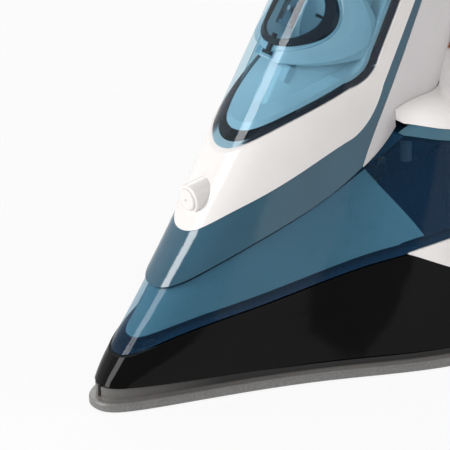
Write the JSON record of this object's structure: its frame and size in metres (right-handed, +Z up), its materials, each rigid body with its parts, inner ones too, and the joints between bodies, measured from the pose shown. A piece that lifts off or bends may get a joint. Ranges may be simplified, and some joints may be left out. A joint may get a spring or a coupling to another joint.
{
  "type": "steam iron",
  "caption": "Steam iron with a pointed soleplate, clear water tank, filler flap, spray nozzle, thumb buttons, steam slider, temperature dial and swivelling cord entry.",
  "frame": {"origin": "on the table plane under the middle of the overall length, standing flat on the soleplate", "axes": "+Z up, +X from the nose towards the heel, +Y to the user's right seen from the heel"},
  "size_m": [0.2764, 0.1184, 0.158],
  "materials": {
    "ceramic_sole": "die-cast aluminium with a speckled grey enamel on the running face",
    "element_steel": "annealed stainless sheath",
    "steatite": "unglazed ceramic",
    "zinc_steel": "zinc plated",
    "brass": "turned",
    "bimetal": "rolled strip",
    "black_gloss": "moulded, high gloss",
    "petrol_gloss": "moulded, gloss, petrol blue",
    "petrol_insert": "moulded, satin, petrol blue",
    "clear_tank": "clear moulded plastic with a navy tint",
    "clear_lid": "clear moulded plastic with a light blue tint",
    "white_gloss": "moulded, gloss, warm white",
    "handle_white": "moulded, satin gloss, warm white",
    "dial_grey": "moulded, ribbed rim",
    "rubber_black": "moulded rubber",
    "gasket_navy": "moulded silicone rubber",
    "soft_petrol": "over-moulded soft grip",
    "inner_plastic": "moulded, natural",
    "tray_blue": "moulded, light blue grey",
    "spring_steel": "drawn wire",
    "hose_silicone": "extruded silicone",
    "wire_jacket": "silicone insulation",
    "amber": "clear amber plastic",
    "neon_glass": "glass tube",
    "catch_black": "moulded"
  },
  "bodies": {
    "iron": {"soleplate": "ceramic_sole", "heating_element": "element_steel", "element_terminals": "steatite", "steam_chamber_cover": "zinc_steel", "drip_valve_seat": "brass", "sole_screws": "zinc_steel", "thermostat_body": "steatite", "thermostat_bimetal": "bimetal", "thermal_fuse": "zinc_steel", "skirt": "black_gloss", "water_tank": "clear_tank", "tank_insert": "petrol_insert", "tank_trim": "petrol_gloss", "saddle": "white_gloss", "rear_shell": "petrol_gloss", "heel_plate": "petrol_gloss", "heel_feet": "rubber_black", "heel_screws": "zinc_steel", "mid_cover": "petrol_gloss", "front_cover": "white_gloss", "spray_nozzle": "petrol_insert", "flap_hinge_pin": "zinc_steel", "filler_neck": "tray_blue", "filler_tray": "tray_blue", "pump_bracket": "inner_plastic", "control_panel": "white_gloss", "spray_hose": "hose_silicone", "steam_hose": "hose_silicone", "suction_hose": "hose_silicone", "handle_screws": "zinc_steel", "under_grip": "soft_petrol", "grip_cover": "soft_petrol", "cord_socket": "inner_plastic", "terminal_block": "inner_plastic", "terminal_screws": "brass", "internal_wires": "wire_jacket", "indicator_lens": "amber", "indicator_lamp": "neon_glass", "lid_window": "clear_lid", "handle_left": "handle_white", "handle_right": "handle_white", "spray_pump": "inner_plastic", "spray_spring": "spring_steel", "steam_pump": "inner_plastic", "steam_spring": "spring_steel"},
    "filler_flap": {"filler_flap": "clear_lid", "flap_gasket": "gasket_navy", "flap_catch": "catch_black", "catch_rivet": "zinc_steel"},
    "spray_button": {"spray_button": "petrol_gloss", "spray_plunger": "inner_plastic"},
    "steam_button": {"steam_button": "petrol_gloss", "steam_plunger": "inner_plastic"},
    "steam_slider": {"steam_slider": "petrol_gloss"},
    "valve_rod": {"valve_rod": "zinc_steel"},
    "temperature_dial": {"temperature_dial": "dial_grey", "dial_shaft": "inner_plastic"},
    "swivel_ring": {"swivel_ring": "rubber_black"},
    "cord_bush": {"cord_bush": "rubber_black"}
  },
  "joints": [
    {"name": "filler_flap_hinge", "type": "hinge", "parent": "iron", "child": "filler_flap", "pos_m": [-0.04332, 0, 0.13247], "axis": [0, 1, 0], "range_deg": [0, 60]},
    {"name": "spray_button_slide", "type": "slide", "parent": "iron", "child": "spray_button", "axis": [0, 0, -1], "range_m": [0, 0.003], "stiffness_N_per_m": 600, "springref_m": -0.003, "deforming": ["spray_spring"]},
    {"name": "steam_button_slide", "type": "slide", "parent": "iron", "child": "steam_button", "axis": [0, 0, -1], "range_m": [0, 0.003], "stiffness_N_per_m": 600, "springref_m": -0.003, "deforming": ["steam_spring"]},
    {"name": "steam_slider_slide", "type": "slide", "parent": "iron", "child": "steam_slider", "axis": [0, 1, 0], "range_m": [-0.008, 0.008]},
    {"name": "valve_rod_lift", "type": "slide", "parent": "iron", "child": "valve_rod", "axis": [0, 0, 1], "range_m": [-0.001, 0.001]},
    {"name": "temperature_dial_turn", "type": "hinge", "parent": "iron", "child": "temperature_dial", "pos_m": [0.04177, 0, 0.088], "axis": [0, 0, 1], "range_deg": [-135, 135]},
    {"name": "cord_ring_turn", "type": "hinge", "parent": "iron", "child": "swivel_ring", "pos_m": [0.11777, 0, 0.121], "axis": [0.5736, 0, 0.8192], "continuous": true},
    {"name": "cord_bush_tilt", "type": "hinge", "parent": "swivel_ring", "child": "cord_bush", "pos_m": [0.11777, 0, 0.121], "axis": [0, 1, 0], "range_deg": [-15, 15]}
  ],
  "couplings": [
    {"joint": "valve_rod_lift", "follows": "steam_slider_slide", "ratio": 0.125}
  ]
}
